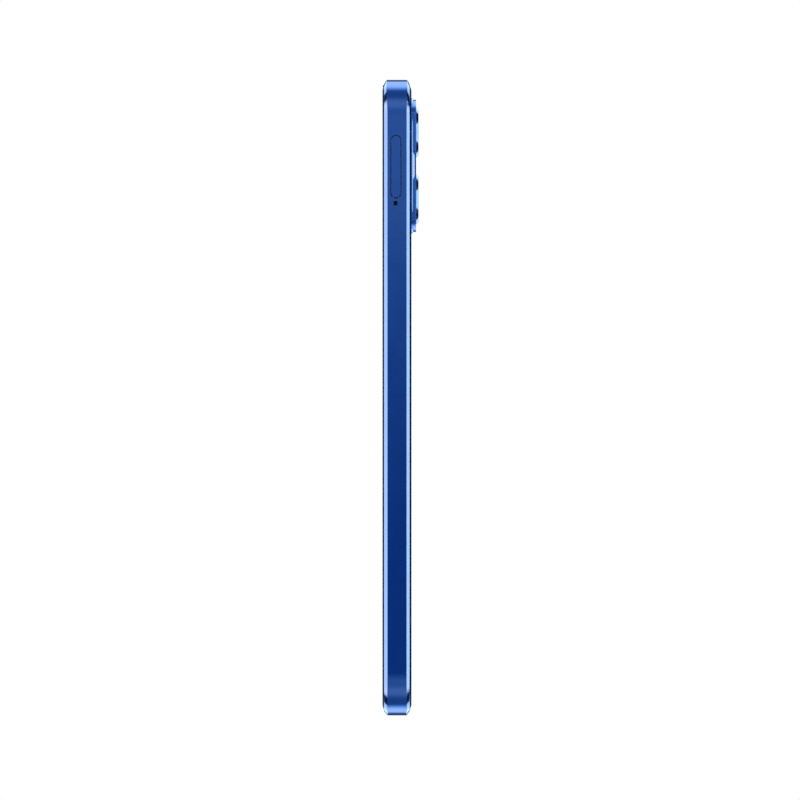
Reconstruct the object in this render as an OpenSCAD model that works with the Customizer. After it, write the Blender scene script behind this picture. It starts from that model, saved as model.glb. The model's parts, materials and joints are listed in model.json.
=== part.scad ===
// Smartphone, modelled as the pieces it comes apart into.
// The phone stands on its bottom edge: +Z runs up its length, the screen faces -X,
// the camera bump stands out to +X and the card tray is in the long side at -Y.
// The origin is the centre of the charging socket's mouth, in the bottom edge.
// Every thickness position below is a distance along X from the middle of the body.

/* [Body] */
// Length of the body, bottom edge to top edge
body_h = 163.4; // [162:0.1:165]
// Width of the body across the long sides
body_w = 74.7; // [74.5:0.1:76]
// Thickness from the screen glass to the back cover
body_t = 7.45; // [7.45:0.01:7.6]
// Radius of the four corners, seen from the front
corner_r = 11; // [10.5:0.1:12]
// Colour of the lacquered shells
shell_colour = "royalblue"; // ["royalblue", "black", "silver"]

/* [Edges] */
// Width of the bevel beside the screen, along the thickness
front_bevel_x = 0.9; // [0.7:0.05:1]
// Width of the bevel beside the back cover, along the thickness
rear_bevel_x = 0.79; // [0.7:0.01:0.9]
// How far both bevels run in from the side
bevel_in = 1.15; // [1:0.05:1.15]
// Height of the screen glass above the frame
glass_proud = 0.39; // [0.3:0.01:0.4]
// Height of the back cover above the frame
cover_proud = 0.46; // [0.35:0.01:0.5]
// How far the curved edge of both covers runs in
edge_in = 1.4; // [1:0.1:1.6]

/* [Camera bump] */
// Height of the plate along the phone
bump_h = 34.75; // [34:0.05:36]
// Width of the plate across the phone
bump_w = 26; // [25.5:0.1:28]
// Gap from the plate to the body's top edge and to its side
bump_gap = 4.73; // [4.5:0.01:4.8]
// How far the plate stands out of the back cover
bump_rise = 1.19; // [1.15:0.01:1.3]
// Corner radius of the plate
bump_r = 7; // [6:0.1:8]
// Diameter of the two lens rings
ring_d = 12.8; // [12.4:0.1:12.8]
// How far the rings stand out of the plate
ring_rise = 0.63; // [0.6:0.01:0.8]
// Distance between the centres of the two rings
ring_pitch = 17.14; // [16.8:0.01:17.4]
// Distance from the plate's side to the ring centres
ring_in = 7; // [6.95:0.05:7.2]

/* [Card tray] */
// Length of the tray's door
door_l = 15.9; // [15.7:0.05:16]
// Width of the tray's door across the thickness
door_w = 2.35; // [2.3:0.05:2.4]
// Gap all round the door
door_gap = 0.2; // [0.15:0.01:0.2]
// Distance from the top edge to the door's centre
door_down = 22.3; // [22.2:0.1:22.5]
// How far the tray reaches into the phone, past its door
tray_depth = 21.6; // [21.2:0.1:21.7]
// Diameter of the eject hole
eject_d = 1.14; // [1.05:0.01:1.2]
// Distance from the door's centre down to the eject hole
eject_down = 9.4; // [9.4:0.05:9.5]

/* [Keys] */
// Length of the volume rocker
volume_l = 22; // [20:0.5:23]
// Length of the power key
power_l = 11; // [10:0.5:12]
// Width of both keys across the thickness
key_w = 2; // [1.8:0.1:2.1]
// How far the keys stand out of the side
key_proud = 0.4; // [0.3:0.05:0.4]
// Travel of the power key
key_travel = 0.25; // [0.2:0.01:0.25]

/* [Ports] */
// Width of the charging socket's mouth
usb_w = 8.34; // [8.34:0.01:8.4]
// Height of the charging socket's mouth
usb_t = 2.56; // [2.5:0.01:2.6]
// Number of sound holes for the loudspeaker
sound_holes = 6; // [4:1:6]
// Diameter of the sound holes
sound_d = 1.1; // [0.9:0.1:1.2]

/* [Hidden] */
$fn = 64;

// Thickness positions of the outer shells
glass_x = -body_t / 2;
cover_x = body_t / 2;
frame_front = glass_x + glass_proud;
frame_back = cover_x - cover_proud;
glass_t = 0.55;
cover_t = 0.8;
glue_t = 0.1;
panel_gap = 0.1;
plate_t = 0.4;
glass_back = glass_x + glass_t;
cover_front = cover_x - cover_t;
front_ledge = glass_back + glue_t;
rear_ledge = cover_front - glue_t;
plate_x = glass_x + 1.3;
plate_back = plate_x + plate_t;

// How far each surface lies in from the side of the body
lip_in = bevel_in + 0.15;
cover_in = lip_in + 0.06;
wall_in = 2;
front_ledge_in = 2.4;
rear_ledge_in = 2.5;
ledge_t = 0.4;

// Boards
board_x = 0.55;
board_t = 0.7;
board_back = board_x + board_t;
board_z = body_h - 45.9;
board_top = body_h - 2.9;
board_cover_x = 1.95;
board_cover_t = 0.5;
sub_board_x = 1.6;
sub_board_t = 0.6;
sub_board_top = 26;

// Camera bump
bump_y = -body_w / 2 + bump_gap + bump_w / 2;
bump_z = body_h - bump_gap - bump_h / 2;
plate_top = cover_x + bump_rise;
ring_top = plate_top + ring_rise;
ring_y = -body_w / 2 + bump_gap + ring_in;
upper_ring_z = bump_z + ring_pitch / 2;
lower_ring_z = bump_z - ring_pitch / 2;
ring_r = ring_d / 2;
ring_bore_r = 4.9;
ring_seat_r = 4.4;
ring_foot_r = 5.3;
ring_head_x = cover_x + 0.2;
ring_seat_x = plate_top - 0.17;
lens_glass_t = 0.5;
small_y = bump_y + bump_w / 2 - 5.6;
macro_z = bump_z + 5.2;
flash_z = bump_z - 5.3;
macro_r = 2.5;
flash_r = 2.2;
window_t = 0.5;
boss_in = 1.5;
plate_wall = 0.18;
plate_bevel_end = [0.7, 0.74];
plate_shoulder = [1.4, 1.06];
plate_flat_in = 2.2;
plate_rim = 3;
collar_r = 8.43;
collar_in = 6.75;
collar_chamfer = 0.1;
camera_x = 0.62;
camera_top = 2.85;
main_housing_w = 10;
wide_housing_w = 8.5;
macro_housing_w = 6;
main_snout_r = 4.2;
lens_bore_r = 3.7;
lens_r = 3.5;
lens_x = 1.9;
lens_l = 2.2;
fit = 0.03;

// Card tray
tray_x = -0.257;
tray_z = body_h - door_down;
door_t = 1.15;
tray_w = 14.4;
tray_t = 1;
tray_y = -body_w / 2 + door_t;
tray_end = tray_y + tray_depth;
card_l = 12.4;
card_w = 8.9;
card_floor = 0.15;
card_rib = 1.2;
opening_l = door_l + 2 * door_gap;
opening_w = door_w + 2 * door_gap;
gasket_t = 0.5;
gasket_l = 15.4;
gasket_w = 1.9;
eject_x = -0.4;
eject_z = tray_z - eject_down;
rod_r = 0.42;
rod_y = -body_w / 2 + 2.15;
lever_gap = 1.3;
lever_w = 1.4;
lever_t = 0.6;
lever_y = tray_end + lever_gap + lever_w / 2;
lever_z = eject_z + 4.8;
lever_low = 5.5;
lever_high = 5;
lever_pin_r = 0.5;
reader_wall = 0.15;
reader_room = 0.15;
reader_low = eject_z - 1.3;
reader_high = tray_z + tray_w / 2 + 0.3;
reader_end = lever_y + 2.2;

// Keys
key_x = 0;
volume_z = body_h - 44.4;
power_z = body_h - 66.4;
key_gap = 0.1;
flange_t = 0.45;
flange_gap = 0.28;
flange_over = 0.8;
nub_t = 0.35;
nub_r = 0.6;
wall_y = body_w / 2 - wall_in;
nub_y = wall_y - flange_gap - flange_t - nub_t;
dome_gap = 0.05;
dome_t = 0.2;
dome_r = 1.5;
key_flex_t = 0.12;
key_strip_t = 0.28;
key_strip_w = 2.3;

// Bottom end
usb_wall = 0.3;
usb_depth = 7;
usb_mouth = 0.3;
usb_play = 0.12;
tongue_w = 6.7;
tongue_t = 0.7;
speaker_y = [-34.8, -8.6];
speaker_z = [2.6, 26];
speaker_x = -1.9;
sound_y = -12;
sound_pitch = 2.4;
mic_r = 0.5;
bottom_mic_y = 12;
top_mic_y = 21;
motor_y = 24;
motor_z = 13.5;
motor_r = 4.5;
motor_x = -1.95;
motor_t = 2.85;
motor_wall = 0.3;
shaft_r = 0.4;

// Battery
battery_y = [-31, 31];
battery_z = [27.4, 115];
battery_x = [plate_back + 0.1, 2.475];
main_flex_y = 18;
battery_flex_y = -7.5;

// Display flex, which reaches the board through a slot in the plate
display_slot_z = battery_z[1] + 1.2;
display_flex_y = -4;
display_flex_w = 16;

// Front camera, light sensor and earpiece
light_y = -7;
front_camera_z = body_h - 6.5;
front_lens_r = 1.6;
front_window_r = 2.1;
earpiece_y = [6, 18];
earpiece_z = [151.5, 159.5];
slit_l = 12;
slit_w = 0.6;

// Screws that hold the board cover and the bottom parts
board_screws = [[-32.5, 120.5], [8, 120.5], [29.5, 120.5], [-16, 158], [30.5, 156]];
bottom_screws = [[-32.2, 24], [-10.4, 24], [10.4, 24], [30, 24], [29.5, 6]];
boss_r = 1.6;
thread_r = 0.6;
clear_r = 0.8;
screw_head_r = 1.2;
screw_head_t = 0.38;
screw_end = -0.9;

// Rounded rectangle centred on the origin, made of straight bars and round corners
module rounded(w, h, r) {
    square([w - 2 * r, h], center = true);
    square([w, h - 2 * r], center = true);
    for (sy = [-1, 1], sz = [-1, 1])
        translate([sy * (w / 2 - r), sz * (h / 2 - r)]) circle(r);
}

// Bar with fully round ends: l is its length up the page, w its width
module slot_shape(w, l) {
    square([w, l - w], center = true);
    for (s = [-1, 1])
        translate([0, s * (l - w) / 2]) circle(w / 2);
}

// Outline of the body, drawn in from its side by a distance
module body_outline(inset) {
    translate([0, body_h / 2])
        rounded(body_w - 2 * inset, body_h - 2 * inset, corner_r - inset);
}

// Extrudes a shape drawn on width and length, from x0 to x1 along the thickness
module slab(x0, x1) {
    translate([x0, 0, 0]) rotate([90, 0, 90]) linear_extrude(height = x1 - x0) children();
}

// Block between two corners on width and length
module block(x, y, z) {
    translate([x[0], y[0], z[0]]) cube([x[1] - x[0], y[1] - y[0], z[1] - z[0]]);
}

// Block centred at a place on width and length
module pad(x0, x1, y, z, w, h) {
    block([x0, x1], [y - w / 2, y + w / 2], [z - h / 2, z + h / 2]);
}

// Round bar along the thickness
module post(x0, x1, y, z, r) {
    translate([x0, y, z]) rotate([0, 90, 0]) cylinder(h = x1 - x0, r = r);
}

// Round bar along the width
module cross_bar(y0, y1, x, z, r) {
    translate([x, y0, z]) rotate([-90, 0, 0]) cylinder(h = y1 - y0, r = r);
}

// Bar with round ends, pushed through a long side from y0 to y1
module side_slot(y0, y1, x, z, w, l) {
    translate([x, y1, z]) rotate([90, 0, 0]) linear_extrude(height = y1 - y0)
        slot_shape(w, l);
}

// Shape of the charging socket's mouth, grown by a margin, from z0 to z1
module usb_slab(z0, z1, margin) {
    translate([0, 0, z0]) linear_extrude(height = z1 - z0)
        slot_shape(usb_t + 2 * margin, usb_w + 2 * margin);
}

// Sweeps a section round a rounded rectangle of width w and height h on the ground
// plane. The section's first axis runs in from the side, its second axis upward.
module ring_sweep(w, h, r) {
    for (side = [0, 1])
        rotate([0, 0, 180 * side]) {
            translate([-w / 2, h / 2 - r, 0]) rotate([90, 0, 0])
                linear_extrude(height = h - 2 * r) children();
            translate([-w / 2 + r, -h / 2, 0]) rotate([90, 0, 90])
                linear_extrude(height = w - 2 * r) children();
            translate([w / 2 - r, h / 2 - r, 0]) rotate_extrude(angle = 90)
                translate([r, 0]) mirror([1, 0]) children();
            translate([-w / 2 + r, h / 2 - r, 0]) rotate([0, 0, 90]) rotate_extrude(angle = 90)
                translate([r, 0]) mirror([1, 0]) children();
        }
}

// Stands a ring_sweep up on the body, inset from its side
module edge_sweep(inset) {
    translate([0, 0, body_h / 2]) rotate([90, 0, 90])
        ring_sweep(body_w - 2 * inset, body_h - 2 * inset, corner_r - inset) children();
}

// Section of a cover's rim: square at the bottom, curving in over its proud part
module rim_section(t, rise, width) {
    steps = 5;
    polygon(concat(
        [[width, 0], [0, 0]],
        [for (i = [0 : steps]) [edge_in * i / steps, t - rise * pow(1 - i / steps, 2)]],
        [[width, t]]
    ));
}

// Flat ribbon in boxes along a path of [x, z] corners
module ribbon(path, y, w, t) {
    for (i = [0 : len(path) - 2]) {
        a = path[i];
        b = path[i + 1];
        block(
            [min(a[0], b[0]) - t / 2, max(a[0], b[0]) + t / 2],
            [y - w / 2, y + w / 2],
            [min(a[1], b[1]) - t / 2, max(a[1], b[1]) + t / 2]
        );
    }
}

// Section of the side frame: bevels outside, a ledge for each cover inside
module frame_section() {
    polygon([
        [bevel_in, frame_front],
        [0, frame_front + front_bevel_x],
        [0, frame_back - rear_bevel_x],
        [bevel_in, frame_back],
        [lip_in, frame_back],
        [lip_in, rear_ledge],
        [rear_ledge_in, rear_ledge],
        [rear_ledge_in, rear_ledge - ledge_t],
        [wall_in, rear_ledge - ledge_t],
        [wall_in, plate_x],
        [front_ledge_in, plate_x],
        [front_ledge_in, front_ledge],
        [lip_in, front_ledge],
        [lip_in, frame_front]
    ]);
}

module side_frame() {
    color(shell_colour) difference() {
        edge_sweep(0) frame_section();
        side_slot(-body_w / 2 - 1, -wall_y + 1, tray_x, tray_z, opening_w, opening_l);
        cross_bar(-body_w / 2 - 1, -wall_y + 1, eject_x, eject_z, eject_d / 2);
        side_slot(wall_y - 1, body_w / 2 + 1, key_x, volume_z, key_w + 2 * key_gap,
            volume_l + 2 * key_gap);
        side_slot(wall_y - 1, body_w / 2 + 1, key_x, power_z, key_w + 2 * key_gap,
            power_l + 2 * key_gap);
        usb_slab(-1, wall_in + 1, usb_play + usb_wall);
        for (i = [0 : sound_holes - 1])
            translate([0, sound_y - i * sound_pitch, -1]) cylinder(h = wall_in + 2, d = sound_d);
        translate([0, bottom_mic_y, -1]) cylinder(h = wall_in + 2, r = mic_r);
        translate([0, top_mic_y, body_h - wall_in - 1]) cylinder(h = wall_in + 2, r = mic_r);
        block([frame_front - 1, plate_x + 1], [-slit_l / 4, slit_l / 4],
            [body_h - front_ledge_in - 1, body_h - lip_in - 0.2]);
    }
}

module midframe_plate() {
    color("lightslategray") difference() {
        union() {
            slab(plate_x, plate_back) body_outline(wall_in + 0.02);
            for (p = board_screws)
                post(plate_back, board_x, p[0], p[1], boss_r);
            for (p = bottom_screws)
                post(plate_back, sub_board_x, p[0], p[1], boss_r);
        }
        for (p = board_screws)
            post(screw_end - 0.3, board_x + 1, p[0], p[1], thread_r + fit);
        for (p = bottom_screws)
            post(screw_end - 0.3, sub_board_x + 1, p[0], p[1], thread_r + fit);
        post(plate_x - 1, plate_back + 1, 0, front_camera_z, front_window_r);
        pad(plate_x - 1, plate_back + 1, light_y, front_camera_z, 2.6, 2.6);
        pad(plate_x - 1, plate_back + 1, display_flex_y, display_slot_z, display_flex_w + 1, 0.9);
        pad(plate_x - 1, plate_back + 1, 0, body_h - 3.4, slit_l / 2, 1.6);
    }
}

module front_glass() {
    color("black") translate([glass_x, 0, 0]) mirror([1, 0, 0]) translate([-glass_t, 0, 0])
        difference() {
            union() {
                edge_sweep(cover_in) rim_section(glass_t, glass_proud, 4);
                slab(0, glass_t) body_outline(cover_in + 3);
            }
            block([-1, glass_t + 1], [-slit_l / 2, slit_l / 2],
                [body_h - cover_in - slit_w, body_h - cover_in + 1]);
        }
}

module glass_adhesive() {
    color("dimgray") slab(glass_back, front_ledge) difference() {
        body_outline(cover_in + 0.02);
        body_outline(front_ledge_in);
        translate([-slit_l / 2, body_h - front_ledge_in]) square([slit_l, 2]);
    }
}

module display_panel() {
    color("midnightblue") slab(glass_back, plate_x - panel_gap) difference() {
        body_outline(front_ledge_in + 0.2);
        translate([0, front_camera_z]) circle(front_window_r);
    }
}

module display_flex() {
    flex_t = 0.08;
    front_x = plate_x - panel_gap / 2;
    color("darkorange")
        ribbon([[front_x, display_slot_z - 8], [front_x, display_slot_z],
            [board_x - 0.35, display_slot_z], [board_x - 0.35, board_z + 3]],
            display_flex_y, display_flex_w, flex_t);
}

module back_cover() {
    color(shell_colour) difference() {
        translate([cover_front, 0, 0]) union() {
            edge_sweep(cover_in) rim_section(cover_t, cover_proud, 4);
            slab(0, cover_t) body_outline(cover_in + 3);
        }
        slab(cover_front - 1, cover_x + 1) translate([bump_y, bump_z])
            rounded(bump_w - 2 * boss_in + 0.1, bump_h - 2 * boss_in + 0.1, bump_r - boss_in);
    }
}

module cover_adhesive() {
    color("dimgray") slab(rear_ledge, cover_front) difference() {
        body_outline(cover_in + 0.02);
        body_outline(rear_ledge_in);
    }
}

// Section of the camera plate's edge: a low wall, a bevel and a soft shoulder
module plate_section() {
    polygon([
        [0, 0],
        [0, plate_wall],
        plate_bevel_end,
        plate_shoulder,
        [plate_flat_in, bump_rise],
        [plate_rim + 0.5, bump_rise],
        [plate_rim + 0.5, 0]
    ]);
}

// Raised collar round a lens ring, cut flat along the plate's side
module ring_collar(z) {
    intersection() {
        union() {
            post(cover_x, plate_top - collar_chamfer, ring_y, z, collar_r);
            translate([plate_top - collar_chamfer, ring_y, z]) rotate([0, 90, 0])
                cylinder(h = collar_chamfer, r1 = collar_r, r2 = collar_r - collar_chamfer);
        }
        block([cover_x, plate_top], [ring_y - collar_in, ring_y + collar_r],
            [z - collar_r, z + collar_r]);
    }
}

// Plate without its openings, with the boss that fills the hole in the back cover
module plate_body() {
    rotate([90, 0, 90]) ring_sweep(bump_w, bump_h, bump_r) plate_section();
    slab(0, bump_rise)
        rounded(bump_w - 2 * plate_rim, bump_h - 2 * plate_rim, bump_r - plate_rim);
    slab(-cover_t, 0) rounded(bump_w - 2 * boss_in, bump_h - 2 * boss_in, bump_r - boss_in);
}

module camera_plate() {
    color(shell_colour) difference() {
        union() {
            ring_collar(upper_ring_z);
            ring_collar(lower_ring_z);
            translate([cover_x, bump_y, bump_z]) plate_body();
        }
        for (z = [upper_ring_z, lower_ring_z]) {
            post(cover_front - 1, plate_top + 1, ring_y, z, ring_foot_r + fit);
            post(ring_head_x, plate_top + 1, ring_y, z, ring_r + fit);
        }
        post(cover_front - 1, plate_top + 1, small_y, macro_z, macro_r - 0.4);
        post(plate_top - window_t, plate_top + 1, small_y, macro_z, macro_r + fit);
        post(cover_front - 1, plate_top + 1, small_y, flash_z, flash_r - 0.4);
        post(plate_top - window_t, plate_top + 1, small_y, flash_z, flash_r + fit);
    }
}

// Turned ring with a bevelled outside and a seat for its glass
module lens_ring(z) {
    ring_bevel = 0.55;
    ring_edge = 0.04;
    color("lightsteelblue") translate([0, ring_y, z]) rotate([0, 90, 0]) rotate_extrude()
        polygon([
            [ring_seat_r, cover_front + 0.1],
            [ring_foot_r, cover_front + 0.1],
            [ring_foot_r, ring_head_x],
            [ring_r, ring_head_x],
            [ring_r, plate_top + ring_edge],
            [ring_r - ring_bevel, ring_top - ring_edge],
            [ring_r - ring_bevel - ring_edge, ring_top],
            [ring_bore_r + 0.3, ring_top],
            [ring_bore_r, ring_top - 0.15],
            [ring_bore_r, ring_seat_x],
            [ring_seat_r, ring_seat_x]
        ]);
}

module lens_glass(z) {
    color("black") post(ring_seat_x, ring_seat_x + lens_glass_t, ring_y, z, ring_bore_r - fit);
}

module upper_lens_ring() lens_ring(upper_ring_z);
module lower_lens_ring() lens_ring(lower_ring_z);
module upper_lens_glass() lens_glass(upper_ring_z);
module lower_lens_glass() lens_glass(lower_ring_z);

module macro_lens_glass() {
    color("black") post(plate_top - window_t, plate_top, small_y, macro_z, macro_r);
}

module flash_lens() {
    color("ivory") post(plate_top - window_t, plate_top, small_y, flash_z, flash_r);
}

module flash_led() {
    color("gold") union() {
        pad(board_back, 3.6, small_y, flash_z, 1.4, 1.4);
        pad(3.6, 4.1, small_y, flash_z, 2.2, 2.2);
    }
}

module main_camera_housing() {
    color("dimgray") difference() {
        union() {
            pad(camera_x, camera_top, ring_y, upper_ring_z, main_housing_w, main_housing_w);
            post(camera_top, camera_top + 1.1, ring_y, upper_ring_z, main_snout_r);
        }
        post(lens_x - 0.4, camera_top + 2, ring_y, upper_ring_z, lens_bore_r);
    }
}

// Barrel of the autofocus lens, which the housing's coil moves outward
module main_camera_lens() {
    color("black") difference() {
        post(lens_x, lens_x + lens_l, ring_y, upper_ring_z, lens_r);
        post(lens_x + lens_l - 0.6, lens_x + lens_l + 1, ring_y, upper_ring_z, 1.9);
    }
}

// Fixed-focus camera: a square body with a round snout
module small_camera(y, z, w, snout_r, snout_top) {
    color("dimgray") difference() {
        union() {
            pad(camera_x, camera_top, y, z, w, w);
            post(camera_top, snout_top, y, z, snout_r);
        }
        post(snout_top - 0.5, snout_top + 1, y, z, snout_r * 0.5);
    }
}

module ultrawide_camera() small_camera(ring_y, lower_ring_z, wide_housing_w, 3, 4.4);
module macro_camera() small_camera(small_y, macro_z, macro_housing_w, 1.9, 4.3);

// Square openings that let the three rear cameras through a board or a cover
module camera_windows(play) {
    translate([ring_y, upper_ring_z])
        square(main_housing_w + 2 * play, center = true);
    translate([ring_y, lower_ring_z])
        square(wide_housing_w + 2 * play, center = true);
    translate([small_y, macro_z])
        square(macro_housing_w + 2 * play, center = true);
}

module camera_bracket() {
    bracket_x = board_cover_x + board_cover_t;
    color("silver") slab(bracket_x, bracket_x + 0.2) difference() {
        translate([bump_y, bump_z]) rounded(bump_w - 2, bump_h - 4, 2);
        camera_windows(0.1);
        translate([small_y, flash_z]) circle(2);
    }
}

module front_camera() {
    color("dimgray") difference() {
        union() {
            pad(plate_back, board_x - 0.1, 0, front_camera_z, 6, 6);
            post(glass_back + 0.1, plate_back, 0, front_camera_z, front_lens_r);
        }
        post(glass_back, glass_back + 0.4, 0, front_camera_z, front_lens_r * 0.6);
    }
}

module earpiece_receiver() {
    can = 0.5;
    color("silver") difference() {
        block([plate_back + 0.1, 0.3], earpiece_y, earpiece_z);
        block([plate_back + 0.1 + can, 0.3 - can], [earpiece_y[0] + can, earpiece_y[1] - can],
            [earpiece_z[0] + can, earpiece_z[1] - can]);
    }
}

module earpiece_diaphragm() {
    color("goldenrod")
        pad(-0.9, -0.75, (earpiece_y[0] + earpiece_y[1]) / 2,
            (earpiece_z[0] + earpiece_z[1]) / 2, 10, 6);
}

module earpiece_mesh() {
    color("dimgray")
        block([glass_x + 0.1, glass_back], [-slit_l / 2 + 0.1, slit_l / 2 - 0.1],
            [body_h - cover_in - slit_w + 0.06, body_h - cover_in]);
}

module light_sensor() {
    color("darkslategray") pad(plate_x, board_x - 0.1, light_y, front_camera_z, 2.4, 2.4);
}

// Screw with a flat head and a cross slot, its head resting at seat_x
module screw(place, seat_x) {
    slot_x = seat_x + 0.15;
    difference() {
        union() {
            post(screw_end, seat_x, place[0], place[1], thread_r);
            post(seat_x, seat_x + screw_head_t, place[0], place[1], screw_head_r);
        }
        pad(slot_x, slot_x + 1, place[0], place[1], 1.3, 0.25);
        pad(slot_x, slot_x + 1, place[0], place[1], 0.25, 1.3);
    }
}

module case_screws() {
    color("silver") union() {
        for (p = board_screws)
            screw(p, board_cover_x + board_cover_t);
        for (p = bottom_screws)
            screw(p, sub_board_x + sub_board_t);
    }
}

module main_board() {
    color("darkgreen") slab(board_x, board_back) difference() {
        intersection() {
            body_outline(wall_in + 0.4);
            union() {
                translate([-body_w / 2, board_z])
                    square([body_w / 2 + wall_y - 2.2, board_top - board_z]);
                translate([0, volume_z + volume_l / 2 + 3])
                    square([body_w / 2, board_top - volume_z - volume_l / 2 - 3]);
            }
        }
        camera_windows(0.15);
        for (p = board_screws)
            translate(p) circle(clear_r);
    }
}

// Processor, storage and power chips, inside the two shields
module board_chips() {
    color("black") union() {
        pad(-0.5, board_x, 0, 134, 14, 14);
        pad(-0.4, board_x, 14, 130, 11, 11);
        pad(board_back, board_back + 0.4, 4, 137, 12, 10);
    }
}

// Stamped can, open toward the board
module shield(x0, x1, y, z, w, h) {
    skin = 0.15;
    inner = x0 < board_x ? [x0 + skin, x1 + 1] : [x0 - 1, x1 - skin];
    color("silver") difference() {
        pad(x0, x1, y, z, w, h);
        pad(inner[0], inner[1], y, z, w - 2 * skin, h - 2 * skin);
    }
}

module shield_cans() {
    shield(-1.75, board_x, 7, 135, 30, 24);
    shield(board_back, board_cover_x - 0.05, 9, 137, 28, 26);
}

module board_connectors() {
    color("gray") union() {
        pad(board_back, board_back + 0.25, main_flex_y, 119.6, 9, 2.2);
        pad(board_back, board_back + 0.25, battery_flex_y, 119.6, 5, 2.2);
        pad(board_x - 0.3, board_x, display_flex_y, 119.6, 15, 2.2);
    }
}

module thermal_pad() {
    color("lightgray") pad(plate_back, -1.75, 7, 135, 28, 22);
}

module board_cover() {
    color("darkslategray") slab(board_cover_x, board_cover_x + board_cover_t) difference() {
        intersection() {
            body_outline(wall_in + 0.6);
            translate([-body_w / 2, board_z + 0.5]) square([body_w, 45]);
        }
        camera_windows(0.15);
        translate([small_y, flash_z]) circle(1.3);
        for (p = board_screws)
            translate(p) circle(clear_r);
    }
}

module top_microphone() {
    color("silver") pad(-0.55, board_x, top_mic_y, body_h - 3.8, 3.5, 2.8);
}

// Folded steel shell that guides the tray, the eject rod and the lever
module sim_reader() {
    inner = [tray_x - tray_t / 2 - reader_room, tray_x + tray_t / 2 + reader_room];
    color("silver") difference() {
        block([inner[0] - reader_wall, inner[1] + reader_wall], [-wall_y + 0.1, reader_end],
            [reader_low, reader_high]);
        block(inner, [-wall_y - 1, reader_end - reader_wall],
            [reader_low + reader_wall, reader_high - reader_wall]);
    }
}

module lever_pin() {
    color("gray") post(tray_x - tray_t / 2 - reader_room, tray_x + tray_t / 2 + reader_room,
        lever_y, lever_z, lever_pin_r);
}

module eject_lever() {
    color("silver") translate([0, lever_y, lever_z]) difference() {
        block([eject_x - lever_t / 2, eject_x + lever_t / 2], [-lever_w / 2, lever_w / 2],
            [-lever_low, lever_high]);
        post(-2, 2, 0, 0, lever_pin_r + 0.05);
    }
}

module eject_rod() {
    color("silver")
        cross_bar(rod_y, lever_y - lever_w / 2 - 0.05, eject_x, eject_z, rod_r);
}

// Card carrier: the door that closes the side and a frame with two card pockets
module sim_tray() {
    color(shell_colour) difference() {
        union() {
            side_slot(-body_w / 2, tray_y, tray_x, tray_z, door_w, door_l);
            block([tray_x - tray_t / 2, tray_x + tray_t / 2], [tray_y, tray_end],
                [tray_z - tray_w / 2, tray_z + tray_w / 2]);
        }
        for (i = [0, 1]) {
            y0 = tray_end - (i + 1) * (card_w + card_rib);
            block([tray_x - tray_t / 2 + card_floor, tray_x + tray_t], [y0, y0 + card_w],
                [tray_z - card_l / 2, tray_z + card_l / 2]);
            block([tray_x - tray_t, tray_x + tray_t], [y0 + 1, y0 + card_w - 1],
                [tray_z - card_l / 2 + 1, tray_z + card_l / 2 - 1]);
        }
    }
}

module tray_gasket() {
    color("black") difference() {
        side_slot(tray_y, tray_y + gasket_t, tray_x, tray_z, gasket_w, gasket_l);
        block([tray_x - tray_t / 2, tray_x + tray_t / 2], [tray_y - 1, tray_y + 2],
            [tray_z - tray_w / 2, tray_z + tray_w / 2]);
    }
}

module sub_board() {
    color("darkgreen") slab(sub_board_x, sub_board_x + sub_board_t) difference() {
        intersection() {
            body_outline(wall_in + 0.4);
            translate([-7.4, 3]) square([40.5, sub_board_top - 3]);
        }
        for (p = bottom_screws)
            translate(p) circle(clear_r);
    }
}

module usb_shell() {
    color("silver") difference() {
        usb_slab(usb_mouth, usb_mouth + usb_depth, usb_wall);
        usb_slab(usb_mouth - 1, usb_mouth + usb_depth - 0.4, 0);
    }
}

module usb_tongue() {
    color("black") block([-tongue_t / 2, tongue_t / 2], [-tongue_w / 2, tongue_w / 2],
        [usb_mouth + 0.9, usb_mouth + usb_depth - 0.4]);
}

module usb_gasket() {
    color("black") difference() {
        usb_slab(wall_in, wall_in + 0.6, usb_wall + 0.3);
        usb_slab(wall_in - 1, wall_in + 2, usb_wall);
    }
}

module bottom_microphone() {
    color("silver") block([0.6, sub_board_x], [bottom_mic_y - 1.75, bottom_mic_y + 1.75], [3, 5.8]);
}

// Outline of the loudspeaker, which fills one corner of the body
module speaker_outline() {
    intersection() {
        body_outline(wall_in + 0.5);
        translate([speaker_y[0], speaker_z[0]])
            square([speaker_y[1] - speaker_y[0], speaker_z[1] - speaker_z[0]]);
    }
}

module speaker_box() {
    color("black") difference() {
        slab(speaker_x, sub_board_x) speaker_outline();
        block([-1.3, 2], [-29.5, -12], [6.5, 21.5]);
        block([-0.9, 0.9], [-25, -11], [1, 8]);
        for (i = [0, 1])
            post(speaker_x - 1, 3, bottom_screws[i][0], bottom_screws[i][1], boss_r + 0.1);
    }
}

module speaker_cover() {
    color("dimgray") slab(sub_board_x, sub_board_x + sub_board_t) difference() {
        speaker_outline();
        for (i = [0, 1])
            translate(bottom_screws[i]) circle(clear_r);
    }
}

module speaker_magnet() {
    color("gray") pad(-1.3, -0.55, -20.75, 14, 9, 7);
}

module speaker_diaphragm() {
    color("goldenrod") pad(0.1, 0.35, -20.75, 14, 15, 12);
}

module speaker_mesh() {
    color("dimgray") block([-1.4, 1.4], [-26, -10], [wall_in + 0.05, wall_in + 0.3]);
}

module vibration_motor_can() {
    color("silver") difference() {
        post(motor_x + motor_wall, motor_x + motor_t, motor_y, motor_z, motor_r);
        post(motor_x, motor_x + motor_t - motor_wall, motor_y, motor_z, motor_r - motor_wall);
    }
}

module vibration_motor_base() {
    color("gray") union() {
        post(motor_x, motor_x + motor_wall, motor_y, motor_z, motor_r);
        post(motor_x + motor_wall, motor_x + motor_t - motor_wall, motor_y, motor_z, shaft_r);
    }
}

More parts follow.
